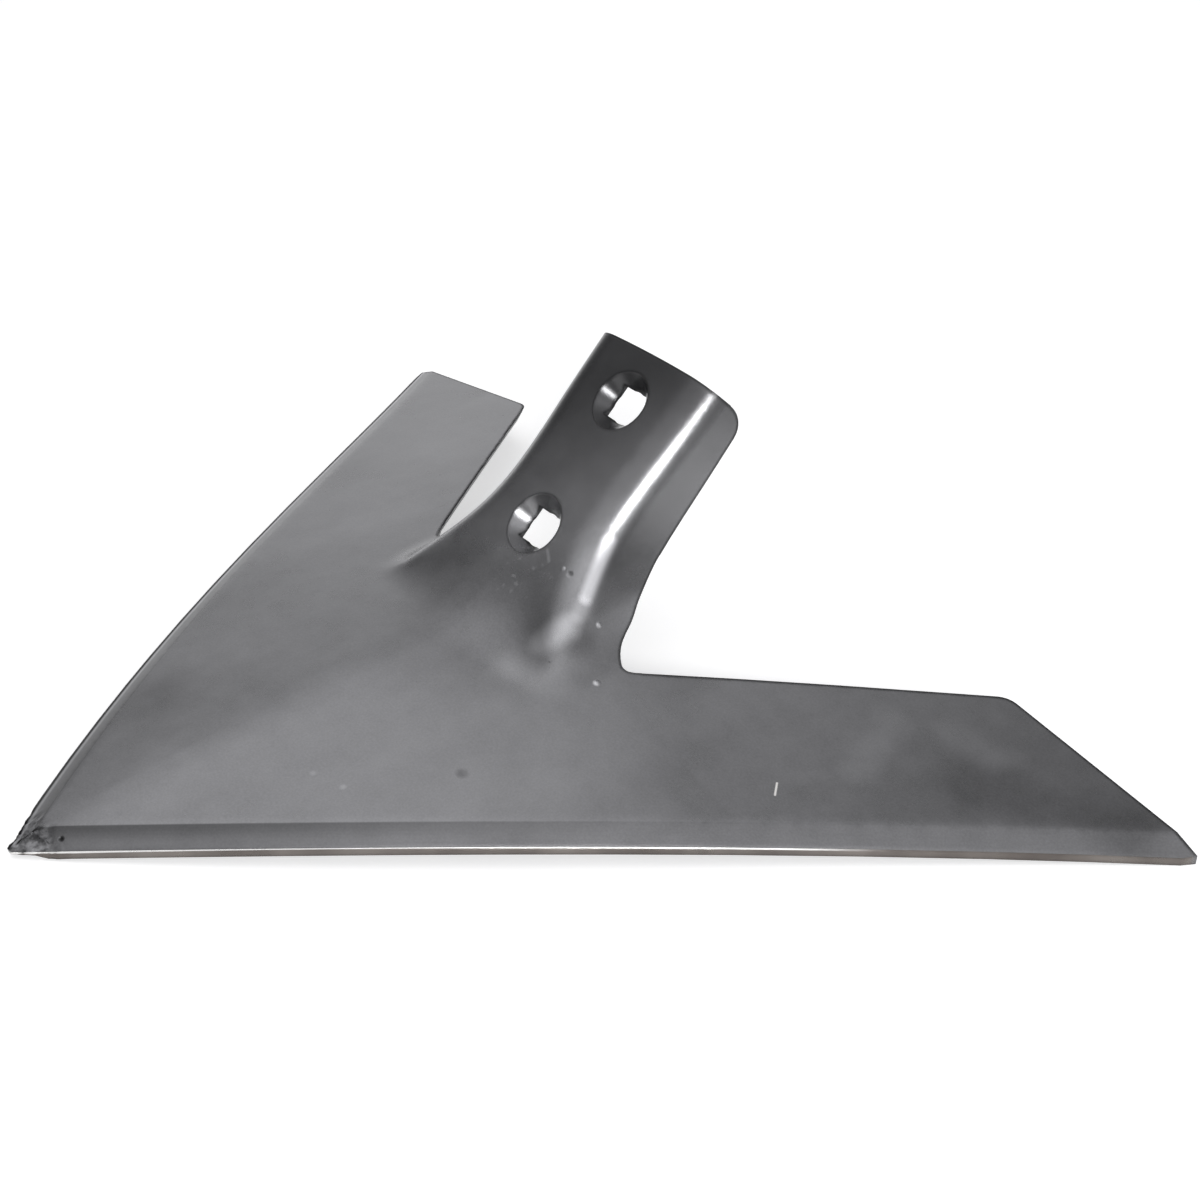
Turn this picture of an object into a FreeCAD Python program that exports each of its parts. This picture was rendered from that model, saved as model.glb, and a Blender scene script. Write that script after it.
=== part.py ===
import FreeCAD, Part
import math
import os

V = FreeCAD.Vector

# Chisel plough sweep: one pressed steel plate, two wings and a stem.
# Millimetres. Z is up, the nose points to minus Y, X runs across the
# wings and the part is alike on both sides of the plane X = 0.
# The point where the two lines of the cutting edge would meet is X = 0, Y = 0.

# Plate
plate = 6.3

# Wings
half_nose_angle = 36.5
edge_length = 406.4
wing_slope = 9.3
rise_by_nose = 13.3
rise_by_tip = 5.5
bulge_by_nose = 10.2
bulge_by_tip = -0.9
crown_radius = 90.0

# Wing outline: the rear line lies a margin behind the end of the cutting
# edge, and the rear edge of a wing is as wide as this
rear_margin = 0.0126
rear_width = 90.336
rear_corner_radius = 9.0
tip_trim = 3.4

# Ground bevel of the cutting edge
lip = 3.2
bevel_width = 8.6

# Blunt worn nose
nose_cut = 1.6
nose_lift = 1.8

# Stem
stem_angle = 45.3
lower_hole_y = 220.15
lower_hole_z = 59.4
hole_spacing = 57.15
stem_top = 78.7
stem_top_arch = 700.0
front_half_width = 19.0
stem_taper = 0.0377
fold_radius = 16.0
flank_angle = 70.0
flank_reach = 25.9
flank_growth = 0.078
flank_corner_radius = 9.0

# The stem widens towards its foot, from this height on its slope downwards
flare_top = 18.0
flare_size = 19.0
flare_length = 40.0

# Blend between stem and wings
front_blend = 70.0
flank_blend = 30.0

# Gap between stem and wing
gap_x = 64.31
gap_y = 218.58
gap_root_radius = 4.5
gap_height = 26.0
rim_end = 12.0

# Bolt holes: square with a conical seat
hole_side = 13.7
seat_radius = 12.5
seat_half_angle = 40.0

alpha = math.radians(half_nose_angle)
slope = math.radians(wing_slope)
lean = math.radians(stem_angle)
turn = math.radians(flank_angle)
along_edge = V(math.sin(alpha), math.cos(alpha), 0)
uphill = V(-math.cos(alpha), math.sin(alpha), math.tan(slope))
across_plan = V(-math.cos(alpha), math.sin(alpha), 0)
wing_normal = uphill.cross(along_edge)
if wing_normal.z < 0:
    wing_normal = wing_normal * -1
wing_normal.normalize()
stem_up = V(0, math.cos(lean), math.sin(lean))
stem_out = V(0, -math.sin(lean), math.cos(lean))
stem_zero = V(0, lower_hole_y, lower_hole_z)
top_shift = plate / math.cos(slope)
third = edge_length / 3.0
rear_line = edge_length * math.cos(alpha) + rear_margin
rear_corner_x = edge_length * math.sin(alpha) - rear_width
wing_reach = edge_length + 73.6


def edge_point(s, z):
    return along_edge * s + V(0, 0, z)


def stem_point(x, s, n):
    return stem_zero + V(x, 0, 0) + stem_up * s + stem_out * n


def curve(points):
    c = Part.BezierCurve()
    c.setPoles(points)
    return c.toShape()


def line(a, b):
    return Part.makeLine(a, b)


def prism(points, reach):
    wire = Part.makePolygon(points + [points[0]])
    return Part.Face(wire).extrude(reach)


def half_wing(drop):
    # the side profile of the cutting edge, pushed uphill, gives the wing face
    run = 60.0
    start = edge_point(-run, -run * rise_by_nose / third)
    a = edge_point(0, 0)
    b = edge_point(edge_length, 0)
    end = edge_point(edge_length + run, -run * rise_by_tip / third)
    top = curve([a, edge_point(third, rise_by_nose), edge_point(2 * third, rise_by_tip), b])
    deep_end = edge_point(edge_length + run, -150)
    deep_start = edge_point(-run, -150)
    rim = [line(start, a), top, line(b, end), line(end, deep_end)]
    rim += [line(deep_end, deep_start), line(deep_start, start)]
    face = Part.Face(Part.Wire(rim))
    face.translate(V(0, 0, top_shift) - wing_normal * drop - uphill * run)
    return face.extrude(uphill * wing_reach)


def wings(drop):
    near = half_wing(drop)
    far = near.mirror(V(0, 0, 0), V(1, 0, 0))
    body = near.common(far)
    ridge = []
    for e in body.Edges:
        c = e.CenterOfMass
        if abs(c.x) < 0.01 and e.Length > 400 and c.z > 0:
            ridge.append(e)
    return body.makeFillet(crown_radius - drop, ridge)


def half_width(s):
    # half the flat front of the stem at height s on its slope
    below = max(0.0, flare_top - s) / flare_length
    return front_half_width + stem_taper * s + flare_size * below * below / (1 + below / 2)


def stem_section(s, drop):
    # folded channel section, drop is the distance inside the outer face
    half = half_width(s)
    r = fold_radius - drop
    deep = 75.0
    x1 = half + r * math.sin(turn)
    n1 = -fold_radius + r * math.cos(turn)
    xm = half + r * math.sin(turn / 2)
    nm = -fold_radius + r * math.cos(turn / 2)
    x2 = x1 + deep * math.cos(turn)
    n2 = n1 - deep * math.sin(turn)
    right = []
    left = []
    for x, n in ((half, -drop), (xm, nm), (x1, n1), (x2, n2)):
        right.append(stem_point(x, s, n))
        left.append(stem_point(-x, s, n))
    rim = [line(left[0], right[0]), Part.Arc(right[0], right[1], right[2]).toShape(), line(right[2], right[3])]
    rim += [line(right[3], left[3]), line(left[3], left[2]), Part.Arc(left[2], left[1], left[0]).toShape()]
    return Part.Wire(rim)


def stem(drop):
    sections = []
    for s in (-90, -65, -40, -20, 0, 20, 48, 75, 102, 130):
        sections.append(stem_section(s, drop))
    body = Part.makeLoft(sections, True)
    # the flat front of the loft is exchanged for a true plane
    skin = []
    for face in body.Faces:
        depths = [(v.Point - stem_zero).dot(stem_out) for v in face.Vertexes]
        if max(depths) - min(depths) < 0.01 and max(depths) > -fold_radius:
            fresh = [e.Curve.toShape(e.FirstParameter, e.LastParameter) for e in face.OuterWire.OrderedEdges]
            face = Part.Face(Part.Wire(Part.__sortEdges__(fresh)))
        skin.append(face)
    shell = Part.Shell(skin)
    shell.sewShape()
    body = Part.Solid(shell)
    if body.Volume < 0:
        body.reverse()
    return body


def near_half(drop):
    # wings and stem joined, the plus X half of it, with the inner corner
    # at the foot blended: a wide radius in front, a smaller one at the flank
    body = wings(drop).fuse(stem(drop)).removeSplitter()
    body = body.common(Part.makeBox(600, 1200, 600, V(0, -400, -300)))
    doc = FreeCAD.newDocument("blend")
    base = doc.addObject("Part::Feature", "base")
    base.Shape = body
    front = front_blend + drop
    side = flank_blend + drop
    rows = []
    for i, e in enumerate(body.Edges):
        a = e.valueAt(e.FirstParameter)
        b = e.valueAt(e.LastParameter)
        c = e.CenterOfMass
        in_reach = 2 < c.x < 70 and 185 < c.y < 300 and c.z < 45 and e.Length < 220
        behind_nose = min(a.y, b.y) > 170 and max(a.y, b.y) < 420
        on_foot = min(a.z, b.z) > 15 and max(a.z, b.z) < 60
        if in_reach and behind_nose and on_foot:
            radii = []
            for p in (a, b):
                share = min(1.0, max(0.0, (abs(p.x) + 0.9 * drop - 8.0) / 24.0))
                radii.append(front + (side - front) * share)
            rows.append((i + 1, radii[0], radii[1]))
    blend = doc.addObject("Part::Fillet", "blend")
    blend.Base = base
    blend.Edges = rows
    doc.recompute()
    result = blend.Shape.copy()
    FreeCAD.closeDocument(doc.Name)
    return result


# plan outline of one wing: bulged cutting edge, trimmed tip, straight rear line
low = -40.0


def plan_edge(s, bulge):
    return along_edge * s - across_plan * bulge + V(0, 0, low)


tip = plan_edge(edge_length, 0)
trim_start = plan_edge(edge_length - tip_trim * 1.9, 0)
trim_end = V(tip.x - tip_trim * 0.35, rear_line, low)
edge_curve = curve([V(0, 0, low), plan_edge(third, bulge_by_nose), plan_edge(2 * third, bulge_by_tip), tip])
rim = [edge_curve, line(tip, V(tip.x, rear_line, low)), line(V(tip.x, rear_line, low), V(-20, rear_line, low))]
rim += [line(V(-20, rear_line, low), V(-20, 0, low)), line(V(-20, 0, low), V(0, 0, low))]
outline = Part.Face(Part.Wire(rim)).extrude(V(0, 0, 260))
sheet = near_half(0.0).cut(near_half(plate)).common(outline)
beyond = tip.x + 40
corner = [trim_start, V(beyond, trim_start.y, low), V(beyond, rear_line + 9, low)]
corner += [V(trim_end.x, rear_line + 9, low), trim_end]
sheet = sheet.cut(prism(corner, V(0, 0, 100)))

# long straight side of the gap between stem and wing, cut straight down,
# with the rounded inner rear corner of the wing
rear = V(rear_corner_x, rear_line, low)
root_end = V(gap_x, gap_y, low)
gap_dir = (rear - root_end).normalize()
gap_start = root_end + gap_dir * 3
past_rear = rear + gap_dir * 60
gap = prism([gap_start, past_rear, V(46, past_rear.y, low), V(46, gap_start.y + 34, low)], V(0, 0, 200))
sheet = sheet.cut(gap)
along_rear = V(1, 0, 0)
bisect = (along_rear - gap_dir).normalize()
half_turn = math.acos(-along_rear.dot(gap_dir)) / 2
setback = rear_corner_radius / math.tan(half_turn)
centre = rear + bisect * (rear_corner_radius / math.sin(half_turn))
on_gap = rear - gap_dir * setback
on_rear = rear + along_rear * setback
corner = [rear + V(0, 2, 0), on_gap + V(-2, 2, 0), on_gap, centre, on_rear, on_rear + V(0, 2, 0)]
round_bar = Part.makeCylinder(rear_corner_radius, 100, centre, V(0, 0, 1))
sheet = sheet.cut(prism(corner, V(0, 0, 100)).cut(round_bar))

# the flank of the stem and its rear rim, a cut square to the flank
flank_out = V(math.sin(turn), 0, 0) + stem_out * math.cos(turn)
flank_down = V(math.cos(turn), 0, 0) - stem_out * math.sin(turn)


def flank_point(s, n):
    arc_depth = fold_radius * (1 - math.cos(turn))
    x = half_width(s) + fold_radius * math.sin(turn) + (-n - arc_depth) / math.tan(turn)
    return stem_point(x, s, n)


def rim_point(s):
    return flank_point(s, -flank_reach + flank_growth * s)


rim_low = rim_point(rim_end) - flank_out * 48
rim_high = rim_point(140) - flank_out * 48
back = prism([rim_low, rim_high, rim_high - stem_out * 130, rim_low - stem_out * 130], flank_out * 70)
sheet = sheet.cut(back)

# the rim runs on over the blend and round the front of the gap; the cut
# stays square to the plate while the plate turns from upright to flat
gap_square = V(gap_dir.y, -gap_dir.x, 0)
root = V(gap_x, gap_y, gap_height) - gap_square * gap_root_radius
stations = [(rim_point(rim_end + 5), 76, 0.22), (rim_point(rim_end), 73, 0.18)]
stations += [(rim_point(3.8), 64, 0.09), (rim_point(-2.5) + stem_out * 0.5, 55, 0.05)]
stations += [(root + V(-13.1, 10.0, 10.0), 46, 0), (root + V(-9.7, 3.6, 7.0), 38, 0)]
stations += [(root + V(-5.6, -1.5, 4.1), 31, 0)]
for angle, lift, degrees in ((-130, 2.6, 25), (-97, 1.4, 18), (-66, 0.6, 10)):
    reach = V(math.cos(math.radians(angle)), math.sin(math.radians(angle)), 0) * gap_root_radius
    stations.append((root + reach + V(0, 0, lift), degrees, 0))
for run, degrees in ((0, 4), (3, 0), (9, 0)):
    stations.append((root + gap_square * gap_root_radius + gap_dir * run, degrees, 0))
above = []
below = []
for p, degrees, forward in stations:
    out = V(math.sin(math.radians(degrees)), -forward, math.cos(math.radians(degrees))).normalize()
    above.append(p + out * 5)
    below.append(p - out * 11)
top_line = Part.BSplineCurve()
top_line.interpolate(above)
low_line = Part.BSplineCurve()
low_line.interpolate(below)
turning = Part.makeRuledSurface(top_line.toShape(), low_line.toShape())
sheet = sheet.cut(turning.extrude(V(0, 45, 0)))

# top of the stem: shallow arch, rounded corners on the flanks
arch = []
for x in (-60, 0, 60):
    arch.append(stem_point(x, stem_top - x * x / (2 * stem_top_arch), 20))
above_side = stem_point(-60, 200, 20)
above_other = stem_point(60, 200, 20)
rim = [Part.Arc(arch[0], arch[1], arch[2]).toShape(), line(arch[2], above_other)]
rim += [line(above_other, above_side), line(above_side, arch[0])]
sheet = sheet.cut(Part.Face(Part.Wire(rim)).extrude(stem_out * -90))
flank_x = rim_point(stem_top).x
top_s = stem_top - flank_x * flank_x / (2 * stem_top_arch)
keep = flank_corner_radius
growth = flank_growth / math.sin(turn)
stretch = math.sqrt(1 + growth * growth)
centre = rim_point(top_s - keep) - flank_down * (keep * stretch) - flank_out * 15
on_rim = centre + (stem_up * growth + flank_down) * (keep / stretch)
past_top = centre + stem_up * (keep + 12)
corner = prism([centre, on_rim, on_rim + flank_down * 8, past_top + flank_down * (keep + 8), past_top],
               flank_out * 30)
round_bar = Part.makeCylinder(keep, 30, centre, flank_out)
sheet = sheet.cut(corner.cut(round_bar))

# bolt holes, square, each with a conical seat for a plough bolt
for s_mid in (0.0, hole_spacing):
    half = hole_side / 2
    square = []
    for x, s in ((-half, -half), (half, -half), (half, half), (-half, half)):
        square.append(stem_point(x, s_mid + s, 20))
    cone_depth = seat_radius / math.tan(math.radians(seat_half_angle))
    seat = Part.makeCone(0, seat_radius * 2, cone_depth * 2, stem_point(0, s_mid, -cone_depth), stem_out)
    sheet = sheet.cut(prism(square, stem_out * -60)).cut(seat)


# ground bevel along the cutting edge
def edge_curve_at(inset, height):
    poles = [V(0, 0, 0), edge_point(third, rise_by_nose), edge_point(2 * third, rise_by_tip),
             edge_point(edge_length, 0)]
    bulges = [0, bulge_by_nose, bulge_by_tip, 0]
    moved = []
    for p, q in zip(poles, bulges):
        moved.append(p + across_plan * (inset - q) + V(0, 0, height - q * math.tan(slope)))
    return moved


def grown(poles):
    # the same curve drawn out straight past both ends
    first = (poles[0] - poles[1]).normalize() * 40
    last = (poles[3] - poles[2]).normalize() * 40
    return [line(poles[0] + first, poles[0]), curve(poles), line(poles[3], poles[3] + last)]


bevel_top = top_shift + bevel_width * math.tan(slope)
drop_to_lip = (bevel_top - lip) / bevel_width
out = 6.0
wide = bevel_width + 4.0
low_rim = Part.Wire(grown(edge_curve_at(-out, lip - drop_to_lip * out)))
high_rim = Part.Wire(grown(edge_curve_at(wide, lip + drop_to_lip * wide)))
ramp = Part.makeRuledSurface(low_rim, high_rim)
grinder = ramp.extrude(V(0, 0, 40))
sheet = sheet.cut(grinder)

# worn nose: blunt front, underside lifted by wear
blunt = Part.makeBox(40, 20 + nose_cut, 60, V(-20, -20, -20))
worn = []
for y, z in ((-5, -9), (-5, nose_lift + 1.0), (8, nose_lift + 0.8), (13, nose_lift - 0.9), (13, -9)):
    worn.append(V(-20, y, z))
sheet = sheet.cut(blunt).cut(prism(worn, V(60, 0, 0)))

other = sheet.mirror(V(0, 0, 0), V(1, 0, 0))
sweep = sheet.fuse(other).removeSplitter().Solids[0]

# the row origin lies midway between nose and rear line, on the plane that the
# sweep rests on with its nose and the tips of its wings
box = sweep.optimalBoundingBox(False, False)
sweep.translate(V(0, -(box.YMin + box.YMax) / 2, -box.ZMin))

os.makedirs("parts", exist_ok=True)
sweep.exportStep("parts/sweep.step")
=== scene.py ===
import math

import bpy
import numpy as np
from mathutils import Matrix, Vector, noise


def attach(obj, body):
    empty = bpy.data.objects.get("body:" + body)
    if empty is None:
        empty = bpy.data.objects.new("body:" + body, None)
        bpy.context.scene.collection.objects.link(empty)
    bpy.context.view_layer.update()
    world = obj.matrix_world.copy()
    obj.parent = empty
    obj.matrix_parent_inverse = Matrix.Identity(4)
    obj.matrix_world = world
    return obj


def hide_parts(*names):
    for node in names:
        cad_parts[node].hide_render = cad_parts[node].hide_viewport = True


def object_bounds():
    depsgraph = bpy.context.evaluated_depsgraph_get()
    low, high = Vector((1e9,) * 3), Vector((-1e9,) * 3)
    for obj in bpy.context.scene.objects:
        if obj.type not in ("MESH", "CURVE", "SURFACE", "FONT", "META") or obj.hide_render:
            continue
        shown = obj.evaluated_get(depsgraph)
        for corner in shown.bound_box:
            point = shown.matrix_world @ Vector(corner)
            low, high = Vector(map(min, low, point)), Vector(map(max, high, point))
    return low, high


# Pressed steel chisel plough sweep on a plain pale floor, in metres.
# X runs across the wings, the nose points to minus Y, Z is up.

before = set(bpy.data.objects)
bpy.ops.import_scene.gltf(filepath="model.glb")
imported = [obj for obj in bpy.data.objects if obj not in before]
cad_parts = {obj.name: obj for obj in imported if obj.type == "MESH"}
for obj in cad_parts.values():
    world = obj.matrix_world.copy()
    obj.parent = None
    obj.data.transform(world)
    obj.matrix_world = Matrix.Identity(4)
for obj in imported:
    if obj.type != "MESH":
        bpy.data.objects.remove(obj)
cad_low, cad_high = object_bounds()

# Camera, solved from the photograph
CAMERA_PLACE = Vector((0.5281, -0.33505, 0.42261))
CAMERA_AZIMUTH = math.radians(51.2136)
CAMERA_ELEVATION = math.radians(31.1402)
CAMERA_ROLL = math.radians(1.7559)
FOCAL_PIXELS = 1967.14
FRAME_PIXELS = 1200.0
SENSOR = 36.0
CLIP_NEAR = 0.01
CLIP_FAR = 50.0

# Floor: half its width, its own grey and the light it adds to reach white
FLOOR_HALF = 6.0
FLOOR_GREY = 0.9
FLOOR_ROUGHNESS = 0.95
FLOOR_WHITE = 0.42

# Key lamp: a disk in this direction from its target
KEY_DIRECTION = (0.75, -0.46, 0.47)
KEY_TARGET = (0.0, 0.05, 0.05)
KEY_DISTANCE = 1.6
KEY_SIZE = 0.28
KEY_WATTS = 11

# Studio: soft lights as direction, narrowness and strength, on a faint base
STUDIO_LIGHTS = [
    ((-0.85, 0.45, 0.10), 11, 0.90),
    ((-0.55, 0.20, 0.80), 11, 0.70),
    ((-0.30, -0.10, 0.95), 9, 0.75),
    ((0.40, -0.20, 0.90), 9, 0.90),
    ((0.60, 0.35, 0.70), 9, 0.60),
    ((0.95, 0.05, 0.10), 9, 0.45),
    ((0.65, 0.70, 0.25), 12, 0.30),
    ((-0.30, -0.85, 0.40), 12, 0.25),
    ((0.05, -0.35, 0.95), 12, 0.20),
    ((-0.65, 0.70, 0.25), 12, 0.10),
]
STUDIO_BASE = 0.02
STUDIO_BLUE = 1.015

# Cutting edge of one side, seen from above: from the nose in this direction,
# with its bulge outwards and its rise at a third and two thirds of its length
NOSE_Y = -0.16415
EDGE_X = 0.5948
EDGE_Y = 0.8039
EDGE_LENGTH = 0.4064
BULGE = (0.0102, -0.0009)
RISE = (0.0133, 0.0055)
LIP_HEIGHT = 0.006
WING_SLOPE = 0.16376

# Wall of the gap between stem and wing: a point on it and its direction
GAP_X = 0.06431
GAP_Y = 0.05443
GAP_DX = 0.6273
GAP_DY = 0.7788

# Lean of that wall: its share of the depth under the top face, the depth and
# the distance behind the wall that it reaches, and where it fades along the gap
LEAN = 0.46
LEAN_DEPTH = 0.0063
LEAN_START = 0.0009
LEAN_REACH = 0.007
LEAN_MARGIN = 0.0008
LEAN_FADE_IN = 0.012
LEAN_END = 0.144
LEAN_FADE_OUT = 0.003

# Worn metal at the tip: where it starts, and how deep its pits are
WEAR_START = -0.1465
WEAR_FADE = 0.006
PIT_DEPTH = 0.0008
PIT_BIAS = 0.45
COARSE_PITS = 420.0
FINE_PITS = 900.0
FINE_PITS_SHIFT = Vector((7, 3, 5))
TIP_FLOOR = 0.0004
TIP_UPPER = 0.0012

# Longest edge of the detailed mesh: wings, foot of the stem, nose
WING_EDGE = 0.0042
FOOT_EDGE = 0.0019
NOSE_EDGE = 0.0011
FOOT_Y = 0.085
FOOT_HALF_X = 0.075
FOOT_HALF_Y = 0.085
NOSE_END = -0.135
SPLIT_ROUNDS = 9
LIFT_SHARE = 0.75
SMOOTH_AGREEMENT = 0.97
SHARP_AGREEMENT = 0.965
WELD_DIGITS = 6

# How a triangle is cut, by the number of its split edges: 0 to 2 are its
# corners, 3 to 5 the middles of its edges in turn
CUTS = {
    1: [[0, 3, 2], [3, 1, 2]],
    2: [[3, 1, 4], [0, 3, 4], [0, 4, 2]],
    3: [[0, 3, 5], [3, 1, 4], [5, 4, 2], [3, 4, 5]],
}

# Square holes of the stem: middle of each seat's mouth, the seat's inner and
# outer reach from it, and its depth under the mouth
HOLES = [(0.0, 0.056, 0.05921), (0.0, 0.0962, 0.09984)]
STEM_OUT = (0.0, -0.7108, 0.7034)
STEM_UP = (0.0, 0.7034, 0.7108)
SEAT_REACH = (0.0125, 0.0130)
SEAT_SUNK = (-0.0002, -0.0006)

# Looks of the steel
METALLIC = 0.78
BASE_GREY = 0.235
BASE_BLUE = 1.03
DARKEST_TONE = 0.06
BASE_GLOSS = 0.29
RIM_RADIUS = 0.0021
LIP_SHADOWED = (0.115, 0.100, 0.092, 1)
LIP_WORN = (0.21, 0.190, 0.175, 1)
BARE_METAL = (0.92, 0.91, 0.90, 1)
SCRATCHED_METAL = (1.0, 0.98, 0.95, 1)
WHITE = (1.0, 1.0, 1.0, 1.0)

# Regions of the steel, each as where it starts and where it is full: TILT is
# a part of the surface normal, INSIDE the distance inside the cutting edge,
# ALONG the distance along it, X, Y and Z are places
UPPER_TILT = (0.25, 0.5)
NEAR_X = (-0.001, 0.001)
BEVEL_INSIDE = (0.0086, 0.0080)
BEVEL_LOWER_INSIDE = (0.0080, 0.0015)
NOSEWARDS_ALONG = (0.30, 0.02)
LIP_INSIDE = (0.0009, 0.0004)
LIP_TILT = (0.6, 0.4)
BARE_HEIGHT = (0.0017, 0.0022)
BARE_ALONG = (0.30, 0.26)
EDGE_INSIDE = (0.0035, 0.0020)
FAR_RIM_INSIDE = (0.0018, 0.0012)
PALE_LINE_OUTER = (0.0016, 0.0022)
PALE_LINE_INNER = (0.0036, 0.0026)
RIM_BEND = (0.992, 0.945)
WALL_TILT = (0.62, 0.45)
WALL_Z = (0.034, 0.028)
STEM_Z = (0.036, 0.060)
# where the stem and its flanks get painted light and shade
STEM_SHADE_SPAN = (-0.01, 0.075)
STEM_SHADE_LEAN = -0.9
FLANK_TILT = (0.80, 0.92)
FLANK_Z = (0.024, 0.062)
FLANK_RISE = (0.000, 0.070)
TIP_Y = (-0.146, -0.155)
SEAT_LIT = (0.90, 0.985)

# Tones of the regions, as factors or as amounts added to the tone
# all but the tip's and the pale line's tones are painted light and shade
STEM_LIGHT_AND_SHADE = (1.48, 0.43)
FLANK_SHADE = (0.30, 0.82)
SEAT_SHADE = 0.68
BEVEL_TONE = 0.95
BEVEL_NOSE_SHADE = -0.56
BEVEL_LOWER_LIGHT = 0.34
BEVEL_FAR_LIGHT = 0.28
TIP_TONES = (-0.30, 0.55)
PALE_LINE = 0.80
RIM_SHADE = 0.93
WALL_SHADE = 0.6

# Noise textures as scale, detail and roughness, and how much each changes the tone
CLOUD = (17.0, 3.0, 0.55)
CLOUD_TONE = 0.50
DRAWN = (1.0, 3.0)
DRAWN_TURN = (0, 0, math.radians(-20))
DRAWN_SCALE = (34, 7, 20)
DRAWN_TONE = 0.28
PATCHES = (95.0, 3.0, 0.6)
PATCHES_TONE = 0.24
GRAIN = (1300.0, 1.0)
GRAIN_TONE = 0.26
GROUND = (1.0, 3.0)
GROUND_ALONG = 30.0
GROUND_INSIDE = 1500.0
GROUND_TONE = 0.09
GROUND_WORN = (0.3, 0.7)
PITS = (330.0, 2.0, 0.6)
PITS_SHOWN = (0.34, 0.66)
SPECKS = (330.0, 2.0)
SPECKS_SHOWN = (0.60, 0.72)
SPECKS_TONE = 0.65
WAVES = (60.0, 1.0)

# Change of roughness by texture and region
CLOUD_GLOSS = 0.10
PATCHES_GLOSS = 0.10
STEM_GLOSS = -0.05
BEVEL_GLOSS = 0.09
TIP_GLOSS = 0.15
DARK_GLOSS = 0.20

# Height of the fine relief
WAVES_HEIGHT = 0.00010
GRAIN_HEIGHT = 0.000012
GROUND_HEIGHT = 0.00001
PITS_HEIGHT = 0.0003

# Places of single marks
FOOT_SPOT = (0.04501, 0.05307, 0.03736)
WING_SPOT = (0.06118, 0.03997, 0.02535)
RUBBED_SPOT = (0.02607, 0.05028, 0.05332)
DARK_SPOT = (0.02990, 0.05060, 0.05290)
WING_DENT = (0.06981, -0.02523, 0.01785)
TIP_DENT = (0.00903, -0.14735, 0.00668)
SPECKLED = (0.010, 0.047, 0.051)
SPECKLED_REACH = (0.004, 0.022)
SCRATCH_START = (0.13625, 0.06131, 0.01592)
SCRATCH_END = (0.14014, 0.05692, 0.01501)
SCRATCH_REACH = (0.0001, 0.0006)

# Marks and painted shade: centre, inner and outer reach, change of tone
MARKS_AND_PAINTED_SHADE = [
    (FOOT_SPOT, 0.0004, 0.0017, 1.6),
    (WING_SPOT, 0.0004, 0.0019, 1.5),
    (RUBBED_SPOT, 0.0003, 0.0014, 0.8),
    (DARK_SPOT, 0.0003, 0.0016, -0.5),
    (WING_DENT, 0.0005, 0.0034, -0.35),
    ((0.05056, -0.06188, 0.01620), 0.0003, 0.0018, 0.35),
    ((0.03856, -0.06656, 0.01702), 0.0003, 0.0018, 0.25),
    (TIP_DENT, 0.0003, 0.0014, -0.85),
    # next row: painted shade in the hollow where the near flank meets the wing
    ((0.04763, 0.04366, 0.03428), 0.0010, 0.0110, -0.32),
    ((0.03575, 0.01691, 0.02670), 0.0010, 0.0110, 0.20),
    # last two rows: painted shade on the far wing near the nose and over the foot of the stem
    ((-0.03976, -0.08458, 0.01461), 0.0020, 0.0220, -0.20),
    ((0.01000, 0.02200, 0.03400), 0.0050, 0.0500, -0.24),
]

# Streaks, painted highlights and painted shade: start, end, inner and outer reach, change of tone
STREAKS_AND_PAINTED_LIGHT = [
    # painted highlight at the root of the far gap
    ((-0.04763, 0.03146, 0.03101), (-0.03671, 0.03959, 0.04160), 0.0006, 0.0070, 0.45),
    ((0.13663, 0.11726, 0.01970), (0.14771, 0.08881, 0.01610), 0.0010, 0.0110, 0.20),
    ((0.15124, 0.13026, 0.01828), (0.17060, 0.13600, 0.01564), 0.0010, 0.0110, 0.17),
    # painted shade on the near wing towards its outer end
    ((0.17500, 0.11800, 0.01400), (0.21800, 0.15000, 0.00900), 0.0040, 0.0190, -0.17),
    # next three rows: painted highlight running down the near fold of the stem onto its foot
    ((0.03224, 0.06687, 0.06274), (0.03870, 0.05180, 0.04660), 0.0006, 0.0042, 1.9),
    ((0.03950, 0.04980, 0.04460), (0.04118, 0.04653, 0.04212), 0.0004, 0.0048, 0.8),
    ((0.04179, 0.04058, 0.03936), (0.03868, 0.03196, 0.03483), 0.0010, 0.0080, 1.0),
    ((0.01787, 0.04988, 0.05303), (0.01400, 0.05200, 0.05520), 0.0002, 0.0012, 0.7),
    ((-0.00500, 0.04600, 0.04950), (0.00900, 0.04800, 0.05150), 0.0010, 0.0090, 0.16),
    # painted shade over the outer part of the near wing
    ((0.13000, 0.05000, 0.01500), (0.20000, 0.14500, 0.01200), 0.0200, 0.0500, -0.10),
]

# Raised and sunk spots: centre, inner and outer reach, height
DINTS = [
    (FOOT_SPOT, 0.0002, 0.0016, 0.00030),
    (WING_SPOT, 0.0002, 0.0018, 0.00030),
    (WING_DENT, 0.0004, 0.0032, -0.00015),
    (RUBBED_SPOT, 0.0002, 0.0014, 0.00020),
    (DARK_SPOT, 0.0002, 0.0016, -0.00025),
    (TIP_DENT, 0.0002, 0.0014, -0.00040),
]


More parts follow.
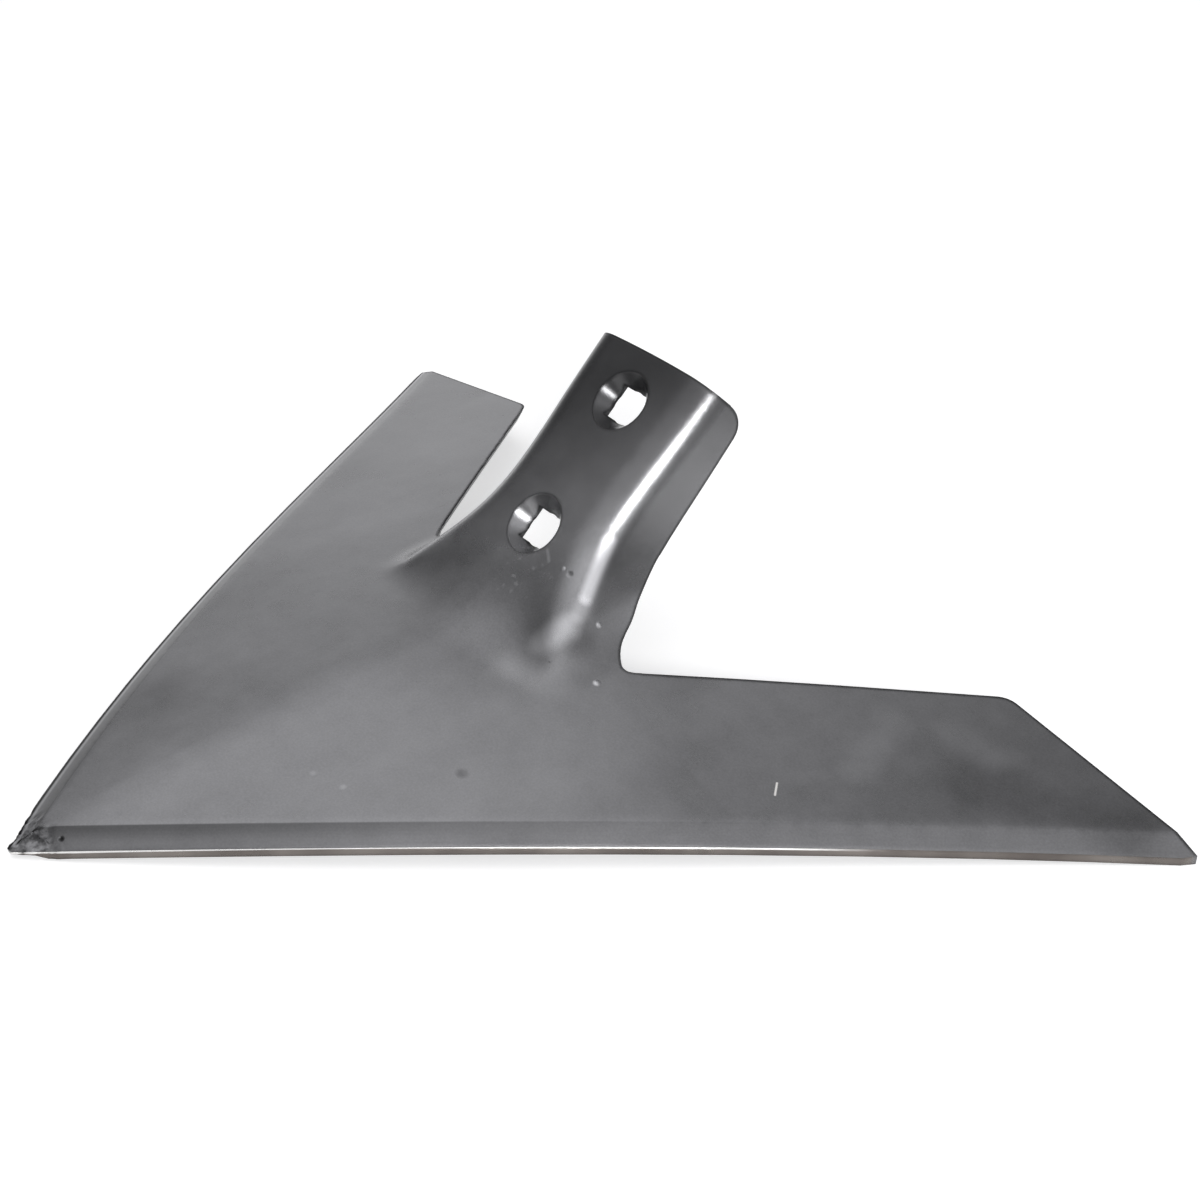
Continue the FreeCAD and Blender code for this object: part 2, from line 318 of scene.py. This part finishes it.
class Nodes:
    # adds and joins shader nodes; a value is a constant or another node's output
    def __init__(self, tree):
        self.tree = tree

    def put(self, socket, value):
        if hasattr(value, "is_output"):
            self.tree.links.new(value, socket)
        else:
            socket.default_value = value

    def add(self, kind, inputs=None, **settings):
        node = self.tree.nodes.new(kind)
        for name, value in settings.items():
            setattr(node, name, value)
        for name, value in (inputs or {}).items():
            self.put(node.inputs[name], value)
        return node

    def math(self, operation, *values, clamp=False):
        node = self.add("ShaderNodeMath", operation=operation, use_clamp=clamp)
        for socket, value in zip(node.inputs, values):
            self.put(socket, value)
        return node.outputs[0]

    def times(self, first, *others):
        for value in others:
            first = self.math("MULTIPLY", first, value)
        return first

    def invert(self, share):
        return self.math("SUBTRACT", 1.0, share)

    def vary(self, value, texture, amount):
        # adds a texture's swing about its middle
        return self.math("MULTIPLY_ADD", self.math("SUBTRACT", texture, 0.5), amount, value)

    def shade(self, tone, share, factor):
        # multiplies the tone by the factor where the share is 1
        change = self.math("SUBTRACT", factor, 1.0)
        return self.math("MULTIPLY", tone, self.math("MULTIPLY_ADD", change, share, 1.0))

    def ramp(self, value, low, high, to_low=0.0, to_high=1.0):
        node = self.add("ShaderNodeMapRange", interpolation_type="SMOOTHSTEP")
        ends = {"From Min": low, "From Max": high, "To Min": to_low, "To Max": to_high}
        for name, end in ends.items():
            self.put(node.inputs[name], end)
        self.put(node.inputs["Value"], value)
        return node.outputs["Result"]

    def vector(self, operation, first, second):
        node = self.add("ShaderNodeVectorMath", {0: first, 1: second}, operation=operation)
        name = "Value" if operation in ("DISTANCE", "DOT_PRODUCT") else "Vector"
        return node.outputs[name]

    def dot(self, vector, direction):
        return self.vector("DOT_PRODUCT", vector, Vector(direction).normalized())

    def texture(self, place, scale, detail, roughness=0.5):
        inputs = {"Vector": place, "Scale": scale, "Detail": detail, "Roughness": roughness}
        return self.add("ShaderNodeTexNoise", inputs).outputs["Fac"]

    def mix(self, share, first, second):
        node = self.add("ShaderNodeMix", data_type="RGBA")
        self.put(node.inputs["Factor"], share)
        self.put(node.inputs["A"], first)
        self.put(node.inputs["B"], second)
        return node.outputs["Result"]

    def grey(self, level, blue):
        inputs = {"Red": level, "Green": level, "Blue": self.math("MULTIPLY", level, blue)}
        return self.add("ShaderNodeCombineColor", inputs).outputs[0]

    def bow(self, t, heights):
        # the same curve as bow below
        rest = self.invert(t)
        both = self.times(t, rest)
        late = self.times(both, t, 3 * heights[1])
        return self.math("MULTIPLY_ADD", self.times(both, rest), 3 * heights[0], late)

    def blob(self, place, centre, inner, outer):
        # 1 within the inner distance of a point, 0 beyond the outer one
        return self.ramp(self.vector("DISTANCE", place, centre), outer, inner)

    def streak(self, place, start, end, inner, outer):
        # the same round a line between two points
        line = Vector(end) - Vector(start)
        offset = self.vector("SUBTRACT", place, start)
        reach = self.vector("DOT_PRODUCT", offset, line)
        share = self.math("DIVIDE", reach, line.length_squared, clamp=True)
        scaled = self.add("ShaderNodeVectorMath", {0: line, "Scale": share}, operation="SCALE")
        gap = self.vector("DISTANCE", offset, scaled.outputs[0])
        return self.ramp(gap, outer, inner)


def bow(t, heights):
    # curve between two points at height 0 that is pulled to these heights
    return 3 * t * (1 - t) ** 2 * heights[0] + 3 * t * t * (1 - t) * heights[1]


def make_camera():
    data = bpy.data.cameras.new("camera")
    data.sensor_width = SENSOR
    data.lens = SENSOR * FOCAL_PIXELS / FRAME_PIXELS
    data.clip_start = CLIP_NEAR
    data.clip_end = CLIP_FAR
    camera = bpy.data.objects.new("camera", data)
    bpy.context.scene.collection.objects.link(camera)
    level = Vector((math.cos(CAMERA_AZIMUTH), math.sin(CAMERA_AZIMUTH), 0.0))
    outwards = Vector((math.sin(CAMERA_AZIMUTH), -math.cos(CAMERA_AZIMUTH), 0.0))
    back = outwards * math.cos(CAMERA_ELEVATION) + Vector((0, 0, 1)) * math.sin(CAMERA_ELEVATION)
    up = back.cross(level)
    right = level * math.cos(CAMERA_ROLL) + up * math.sin(CAMERA_ROLL)
    over = up * math.cos(CAMERA_ROLL) - level * math.sin(CAMERA_ROLL)
    turn = Matrix((right, over, back)).transposed()
    camera.matrix_world = Matrix.Translation(CAMERA_PLACE) @ turn.to_4x4()
    bpy.context.scene.camera = camera


def make_floor():
    mesh = bpy.data.meshes.new("floor")
    corners = [(x * FLOOR_HALF, y * FLOOR_HALF, 0) for x, y in ((-1, -1), (1, -1), (1, 1), (-1, 1))]
    mesh.from_pydata(corners, [], [(0, 1, 2, 3)])
    floor = bpy.data.objects.new("floor", mesh)
    bpy.context.scene.collection.objects.link(floor)
    floor.data.materials.append(make_floor_white())


def make_floor_white():
    material = bpy.data.materials.new("floor_white")
    material.use_nodes = True
    n = Nodes(material.node_tree)
    shader = material.node_tree.nodes["Principled BSDF"]
    shader.inputs["Base Color"].default_value = (FLOOR_GREY, FLOOR_GREY, FLOOR_GREY, 1)
    shader.inputs["Roughness"].default_value = FLOOR_ROUGHNESS
    shader.inputs["Specular IOR Level"].default_value = 0.0
    # white for the eye and in reflections; shadows on it stay
    path = n.add("ShaderNodeLightPath")
    seen = n.math("MAXIMUM", path.outputs["Is Camera Ray"], path.outputs["Is Glossy Ray"])
    seen = n.math("MAXIMUM", seen, path.outputs["Is Transmission Ray"])
    shader.inputs["Emission Color"].default_value = WHITE
    n.put(shader.inputs["Emission Strength"], n.math("MULTIPLY", seen, FLOOR_WHITE))
    return material


def make_key_lamp():
    target = Vector(KEY_TARGET)
    place = target + Vector(KEY_DIRECTION).normalized() * KEY_DISTANCE
    data = bpy.data.lights.new("key", "AREA")
    data.shape = "DISK"
    data.size = KEY_SIZE
    data.energy = KEY_WATTS
    lamp = bpy.data.objects.new("key", data)
    bpy.context.scene.collection.objects.link(lamp)
    lamp.location = place
    lamp.rotation_mode = "QUATERNION"
    lamp.rotation_quaternion = (target - place).to_track_quat("-Z", "Y")


def make_world():
    # the part is lit by the studio lights; the camera itself sees plain white
    world = bpy.data.worlds.new("studio")
    bpy.context.scene.world = world
    world.use_nodes = True
    world.node_tree.nodes.clear()
    n = Nodes(world.node_tree)
    direction = n.add("ShaderNodeTexCoord").outputs["Generated"]
    level = STUDIO_BASE
    for toward, narrowness, strength in STUDIO_LIGHTS:
        away = n.math("SUBTRACT", n.dot(direction, toward), 1.0)
        lobe = n.math("EXPONENT", n.math("MULTIPLY", away, narrowness))
        level = n.math("MULTIPLY_ADD", lobe, strength, level)
    path = n.add("ShaderNodeLightPath")
    shown = n.mix(path.outputs["Is Camera Ray"], n.grey(level, STUDIO_BLUE), WHITE)
    back = n.add("ShaderNodeBackground", {"Color": shown, "Strength": 1.0})
    n.add("ShaderNodeOutputWorld", {"Surface": back.outputs[0]})


def read_node(node):
    # points, triangles and the normal at each triangle's corners
    mesh = node.data
    places = np.empty(len(mesh.vertices) * 3)
    mesh.vertices.foreach_get("co", places)
    corners = np.empty(len(mesh.loops), dtype=np.int32)
    mesh.loops.foreach_get("vertex_index", corners)
    normals = np.empty(len(mesh.loops) * 3)
    mesh.corner_normals.foreach_get("vector", normals)
    rounded = np.round(places.reshape(-1, 3), WELD_DIGITS)
    points, index = np.unique(rounded, axis=0, return_inverse=True)
    triangles = index.reshape(-1)[corners].reshape(-1, 3)
    whole = (triangles != np.roll(triangles, -1, axis=1)).all(axis=1)
    return points, triangles[whole], normals.reshape(-1, 3, 3)[whole]


def list_edges(triangles):
    # every edge once, and the numbers of the three edges of each triangle
    pairs = np.stack([triangles, np.roll(triangles, -1, axis=1)], axis=2).reshape(-1, 2)
    edges, numbers = np.unique(np.sort(pairs, axis=1), axis=0, return_inverse=True)
    return edges, numbers.reshape(-1, 3)


def edge_mean(vectors, numbers, edge_count):
    # mean for each edge of a vector that each triangle has for its three edges
    total = np.zeros((edge_count, 3))
    np.add.at(total, numbers.ravel(), vectors.reshape(-1, 3))
    return total / np.bincount(numbers.ravel(), minlength=edge_count)[:, None]


def edge_limit(middle):
    # finer mesh on the foot of the stem and the nose, coarser on the flat wings
    foot = np.hypot(middle[:, 0] / FOOT_HALF_X, (middle[:, 1] - FOOT_Y) / FOOT_HALF_Y) < 1.0
    limit = np.full(len(middle), WING_EDGE)
    limit[foot] = FOOT_EDGE
    limit[middle[:, 1] < NOSE_END] = NOSE_EDGE
    return limit


def rounded_lift(points, triangles, normals, numbers, edge_count):
    # how far the middle of each edge lies under the rounded surface
    half = (points[np.roll(triangles, -1, axis=1)] - points[triangles]) / 2
    end_normals = np.roll(normals, -1, axis=1)
    from_start = (half * normals).sum(2, keepdims=True) * normals
    from_end = (-half * end_normals).sum(2, keepdims=True) * end_normals
    lift = edge_mean(-LIFT_SHARE * (from_start + from_end) / 2, numbers, edge_count)
    mean_normal = edge_mean((normals + end_normals) / 2, numbers, edge_count)
    lift[np.linalg.norm(mean_normal, axis=1) < SMOOTH_AGREEMENT] = 0.0
    return lift


def cut_triangles(triangles, normals, middles):
    # middles holds the number of each edge's new point, or -1 on a whole edge
    middle_normals = normals + np.roll(normals, -1, axis=1)
    middle_normals /= np.linalg.norm(middle_normals, axis=2, keepdims=True)
    split = middles >= 0
    count = split.sum(1)
    new_triangles = [triangles[count == 0]]
    new_normals = [normals[count == 0]]

    def cut(chosen, order, patterns):
        corners = np.concatenate([triangles[:, order], middles[:, order]], axis=1)[chosen]
        facing = np.concatenate([normals[:, order], middle_normals[:, order]], axis=1)[chosen]
        for pattern in patterns:
            new_triangles.append(corners[:, pattern])
            new_normals.append(facing[:, pattern])

    for turn in range(3):
        # turn the triangle so that its split edges come first
        order = [(turn + k) % 3 for k in range(3)]
        for number in (1, 2):
            first_split = split[:, order[:number]].all(axis=1)
            cut((count == number) & first_split, order, CUTS[number])
    cut(count == 3, [0, 1, 2], CUTS[3])
    return np.concatenate(new_triangles), np.concatenate(new_normals)


def smooth_triangles(points, triangles, normals):
    # halves long edges until none is over its limit; a new point on a smooth
    # edge is lifted to the rounded surface that the corner normals describe
    for _ in range(SPLIT_ROUNDS):
        edges, numbers = list_edges(triangles)
        first = points[edges[:, 0]]
        second = points[edges[:, 1]]
        middle = (first + second) / 2
        split = np.linalg.norm(second - first, axis=1) > edge_limit(middle)
        if not split.any():
            break
        lift = rounded_lift(points, triangles, normals, numbers, len(edges))
        new_number = np.full(len(edges), -1)
        new_number[split] = np.arange(split.sum()) + len(points)
        points = np.concatenate([points, (middle + lift)[split]])
        triangles, normals = cut_triangles(triangles, normals, new_number[numbers])
    return points, triangles, normals


def sharp_edges(triangles, normals):
    # edges where the normals of the two sides part, taken at the lower point
    edges, numbers = list_edges(triangles)
    ends_lower = triangles > np.roll(triangles, -1, axis=1)
    at_lower = np.where(ends_lower[:, :, None], np.roll(normals, -1, axis=1), normals)
    agreement = np.linalg.norm(edge_mean(at_lower, numbers, len(edges)), axis=1)
    return set(map(tuple, edges[agreement < SHARP_AGREEMENT].tolist()))


def wing_top(points):
    # height of the wing's top face at each point
    side = np.abs(points[:, 0])
    back = points[:, 1] - NOSE_Y
    t = np.clip((side * EDGE_X + back * EDGE_Y) / EDGE_LENGTH, 0, 1)
    inside = back * EDGE_X - side * EDGE_Y + bow(t, BULGE)
    return bow(t, RISE) + inside * WING_SLOPE + LIP_HEIGHT


def lean_gap_walls(points):
    # the plate was sheared from above, so the walls of the gaps lean under it
    side = np.abs(points[:, 0]) - GAP_X
    back = points[:, 1] - GAP_Y
    run = side * GAP_DX + back * GAP_DY
    off = side * GAP_DY - back * GAP_DX
    fade = np.clip(run / LEAN_FADE_IN, 0, 1) * np.clip((LEAN_END - run) / LEAN_FADE_OUT, 0, 1)
    depth = np.clip(wing_top(points) - points[:, 2], 0, LEAN_DEPTH)
    near = (off > -LEAN_MARGIN) & (off < LEAN_REACH) & (depth > LEAN_START)
    lean = LEAN * depth * np.clip(1 - off / LEAN_REACH, 0, 1) * fade
    lean[~near] = 0
    points[:, 0] += np.sign(points[:, 0]) * lean * GAP_DY
    points[:, 1] -= lean * GAP_DX


def wear_tip(points):
    # worn, pitted metal at the tip
    rough = np.clip((WEAR_START - points[:, 1]) / WEAR_FADE, 0, 1)
    for i in np.nonzero(rough > 0)[0]:
        place = Vector(points[i])
        coarse = noise.noise(place * COARSE_PITS)
        fine = noise.noise(place * FINE_PITS + FINE_PITS_SHIFT)
        pit = rough[i] * PIT_DEPTH * max(0.0, PIT_BIAS + 0.6 * coarse + 0.4 * fine)
        if points[i, 2] > TIP_UPPER:
            points[i, 2] = max(points[i, 2] - pit, TIP_FLOOR)
        points[i, 1] += pit * 0.5
        points[i, 0] -= math.copysign(min(abs(points[i, 0]), pit * 0.6), points[i, 0])


def detailed_copy(node):
    points, triangles, normals = smooth_triangles(*read_node(node))
    sharp = sharp_edges(triangles, normals)
    lean_gap_walls(points)
    wear_tip(points)
    points = np.clip(points, np.array(cad_low), np.array(cad_high))
    mesh = bpy.data.meshes.new("sweep_detail")
    mesh.from_pydata(points.tolist(), [], triangles.tolist())
    mesh.shade_smooth()
    marks = [tuple(sorted(edge.vertices)) in sharp for edge in mesh.edges]
    mesh.attributes.new("sharp_edge", "BOOLEAN", "EDGE").data.foreach_set("value", marks)
    mesh.update()
    piece = bpy.data.objects.new("sweep_detail", mesh)
    bpy.context.scene.collection.objects.link(piece)
    return piece


class Surface:
    # where a point of the steel lies, which way it faces and which region it
    # is in, all as node outputs, with the textures that several looks share
    def __init__(self, n):
        coords = n.add("ShaderNodeTexCoord")
        self.place = coords.outputs["Object"]
        self.facing = coords.outputs["Normal"]
        self.x, self.y, self.z = n.add("ShaderNodeSeparateXYZ", {"Vector": self.place}).outputs
        facing = n.add("ShaderNodeSeparateXYZ", {"Vector": self.facing}).outputs
        self.sideways = n.math("ABSOLUTE", facing["X"])
        self.level = n.math("ABSOLUTE", facing["Z"])
        self.add_edge_places(n)
        self.add_regions(n, facing["Z"])
        self.add_textures(n)
        self.rounded = n.add("ShaderNodeBevel", {"Radius": RIM_RADIUS}, samples=4).outputs[0]

    def add_edge_places(self, n):
        # distance along the cutting edge, inside it and above its lower line
        side = n.math("ABSOLUTE", self.x)
        back = n.math("SUBTRACT", self.y, NOSE_Y)
        self.along = n.math("MULTIPLY_ADD", side, EDGE_X, n.times(back, EDGE_Y))
        t = n.math("DIVIDE", self.along, EDGE_LENGTH, clamp=True)
        straight = n.math("SUBTRACT", n.times(back, EDGE_X), n.times(side, EDGE_Y))
        self.inside = n.math("ADD", straight, n.bow(t, BULGE))
        self.above_edge = n.math("SUBTRACT", self.z, n.bow(t, RISE))

    def add_regions(self, n, upwards):
        self.upper = n.ramp(upwards, *UPPER_TILT)
        self.far_side = n.invert(n.ramp(self.x, *NEAR_X))
        self.bevel = n.times(self.upper, n.ramp(self.inside, *BEVEL_INSIDE))
        self.lip = n.times(n.ramp(self.inside, *LIP_INSIDE), n.ramp(self.level, *LIP_TILT))
        self.stem = n.ramp(self.z, *STEM_Z)
        self.up_stem = n.dot(n.vector("SUBTRACT", self.place, HOLES[0]), STEM_UP)
        self.tip = n.ramp(self.y, *TIP_Y)

    def add_textures(self, n):
        self.cloud = n.texture(self.place, *CLOUD)
        self.patches = n.texture(self.place, *PATCHES)
        self.grain = n.texture(self.place, *GRAIN)
        self.pits = n.texture(self.place, *PITS)
        lines = {"X": n.times(self.along, GROUND_ALONG), "Y": n.times(self.inside, GROUND_INSIDE)}
        self.ground = n.texture(n.add("ShaderNodeCombineXYZ", lines).outputs[0], *GROUND)


def lacquer_tone(n, s):
    # cloudy and streaked at several scales
    inputs = {"Vector": s.place, "Rotation": DRAWN_TURN, "Scale": DRAWN_SCALE}
    drawn = n.texture(n.add("ShaderNodeMapping", inputs).outputs[0], *DRAWN)
    tone = n.vary(1.0, s.cloud, CLOUD_TONE)
    tone = n.vary(tone, drawn, DRAWN_TONE)
    tone = n.vary(tone, s.patches, PATCHES_TONE)
    return n.vary(tone, s.grain, GRAIN_TONE)


def paint_stem_light_and_shade(n, s, tone):
    # painted light and shade: the stem darker towards its top and far side, its flanks towards the
    # foot
    up_and_over = n.math("MULTIPLY_ADD", s.x, STEM_SHADE_LEAN, s.up_stem)
    tone = n.shade(tone, s.stem, n.ramp(up_and_over, *STEM_SHADE_SPAN, *STEM_LIGHT_AND_SHADE))
    flank = n.times(n.ramp(s.sideways, *FLANK_TILT), n.ramp(s.z, *FLANK_Z))
    return n.shade(tone, flank, n.ramp(s.up_stem, *FLANK_RISE, *FLANK_SHADE))


def paint_seat_shade(n, s, tone):
    # painted shade: the seats of the bolt holes are darkened except where the key lamp meets them
    unlit = n.invert(n.ramp(n.dot(s.facing, KEY_DIRECTION), *SEAT_LIT))
    for hole in HOLES:
        seat = n.blob(s.place, hole, *SEAT_REACH)
        sunk = n.ramp(n.dot(n.vector("SUBTRACT", s.place, hole), STEM_OUT), *SEAT_SUNK)
        tone = n.shade(tone, n.times(seat, sunk, unlit), SEAT_SHADE)
    return tone


def add_marks_and_painted_light(n, s, tone):
    # marks left by handling and pressing, and painted shade and painted highlights at listed places
    for centre, inner, outer, amount in MARKS_AND_PAINTED_SHADE:
        tone = n.math("MULTIPLY_ADD", n.blob(s.place, centre, inner, outer), amount, tone)
    for start, end, inner, outer, amount in STREAKS_AND_PAINTED_LIGHT:
        tone = n.math("MULTIPLY_ADD", n.streak(s.place, start, end, inner, outer), amount, tone)
    specks = n.ramp(n.texture(s.place, *SPECKS), *SPECKS_SHOWN)
    speckled = n.times(n.blob(s.place, SPECKLED, *SPECKLED_REACH), specks)
    return n.math("MULTIPLY_ADD", speckled, SPECKS_TONE, tone)


def paint_bevel_shade_and_grind(n, s, tone):
    # painted shade and light: the ground bevel is darker towards the nose, least so at its
    # lower line, and paler on the far side
    towards_nose = n.ramp(s.along, *NOSEWARDS_ALONG)
    factor = n.math("MULTIPLY_ADD", towards_nose, BEVEL_NOSE_SHADE, BEVEL_TONE)
    lower = n.times(towards_nose, n.ramp(s.inside, *BEVEL_LOWER_INSIDE))
    factor = n.math("MULTIPLY_ADD", lower, BEVEL_LOWER_LIGHT, factor)
    factor = n.vary(factor, s.ground, GROUND_TONE)
    factor = n.math("MULTIPLY_ADD", n.times(s.far_side, s.bevel), BEVEL_FAR_LIGHT, factor)
    return n.shade(tone, s.bevel, factor)


def find_rim_shade(n, s):
    # painted shade on sheared rims and low steep walls, and on the far cutting edge's rim
    normal = n.add("ShaderNodeNewGeometry").outputs["Normal"]
    rim = n.ramp(n.vector("DOT_PRODUCT", s.rounded, normal), *RIM_BEND)
    off_edge = n.invert(n.ramp(s.inside, *EDGE_INSIDE))
    wall = n.times(n.ramp(s.level, *WALL_TILT), off_edge, n.ramp(s.z, *WALL_Z))
    far_rim = n.times(s.far_side, s.upper, n.ramp(s.inside, *FAR_RIM_INSIDE))
    rim_shade = n.math("MAXIMUM", n.times(rim, off_edge, RIM_SHADE), n.times(wall, WALL_SHADE))
    return n.math("MAXIMUM", rim_shade, n.times(far_rim, RIM_SHADE))


def steel_tone(n, s, rim_shade):
    tone = lacquer_tone(n, s)
    tone = paint_stem_light_and_shade(n, s, tone)
    tone = paint_seat_shade(n, s, tone)
    tone = add_marks_and_painted_light(n, s, tone)
    tone = paint_bevel_shade_and_grind(n, s, tone)
    tone = n.math("MULTIPLY_ADD", s.tip, n.ramp(s.pits, *PITS_SHOWN, *TIP_TONES), tone)
    # painted shade on the rims and walls
    tone = n.times(tone, n.invert(rim_shade))
    # pale line beside the painted rim shade of the far cutting edge
    pale = n.times(n.ramp(s.inside, *PALE_LINE_OUTER), n.ramp(s.inside, *PALE_LINE_INNER))
    return n.math("MULTIPLY_ADD", n.times(s.far_side, s.upper, pale), PALE_LINE, tone)


def steel_colour(n, s, tone):
    base = n.times(n.math("MAXIMUM", tone, DARKEST_TONE), BASE_GREY)
    lip_colour = n.mix(n.ramp(s.ground, *GROUND_WORN), LIP_SHADOWED, LIP_WORN)
    colour = n.mix(s.lip, n.grey(base, BASE_BLUE), lip_colour)
    # bare bright line at the top of the cutting edge, but for its outer end
    bare = n.times(s.lip, n.ramp(s.above_edge, *BARE_HEIGHT), n.ramp(s.along, *BARE_ALONG))
    colour = n.mix(bare, colour, BARE_METAL)
    scratch = n.streak(s.place, SCRATCH_START, SCRATCH_END, *SCRATCH_REACH)
    return n.mix(scratch, colour, SCRATCHED_METAL)


def steel_gloss(n, s, rim_shade):
    gloss = n.vary(BASE_GLOSS, s.cloud, CLOUD_GLOSS)
    gloss = n.vary(gloss, s.patches, PATCHES_GLOSS)
    regions = [(s.stem, STEM_GLOSS), (s.bevel, BEVEL_GLOSS), (s.tip, TIP_GLOSS), (rim_shade, DARK_GLOSS)]
    for region, amount in regions:
        gloss = n.math("MULTIPLY_ADD", region, amount, gloss)
    return gloss


def steel_relief(n, s):
    # gentle waves, fine lacquer grain, grinding lines, small pits and dints
    waves = n.texture(s.place, *WAVES)
    relief = n.math("MULTIPLY_ADD", waves, WAVES_HEIGHT, n.times(s.grain, GRAIN_HEIGHT))
    relief = n.math("MULTIPLY_ADD", n.times(s.ground, s.bevel), GROUND_HEIGHT, relief)
    relief = n.math("MULTIPLY_ADD", n.times(s.pits, s.tip), PITS_HEIGHT, relief)
    for centre, inner, outer, height in DINTS:
        relief = n.math("MULTIPLY_ADD", n.blob(s.place, centre, inner, outer), height, relief)
    inputs = {"Height": relief, "Distance": 1.0, "Strength": 1.0, "Normal": s.rounded}
    return n.add("ShaderNodeBump", inputs).outputs[0]


def make_steel():
    material = bpy.data.materials.new("dark_steel")
    material.use_nodes = True
    n = Nodes(material.node_tree)
    s = Surface(n)
    rim_shade = find_rim_shade(n, s)
    shader = material.node_tree.nodes["Principled BSDF"]
    shader.inputs["Metallic"].default_value = METALLIC
    n.put(shader.inputs["Base Color"], steel_colour(n, s, steel_tone(n, s, rim_shade)))
    n.put(shader.inputs["Roughness"], steel_gloss(n, s, rim_shade))
    n.put(shader.inputs["Normal"], steel_relief(n, s))
    return material


make_camera()
make_floor()
make_world()
make_key_lamp()

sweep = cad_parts["sweep"]
piece = detailed_copy(sweep)
piece.data.materials.append(make_steel())
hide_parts("sweep")
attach(piece, "root")

bpy.context.scene.view_settings.view_transform = "Standard"
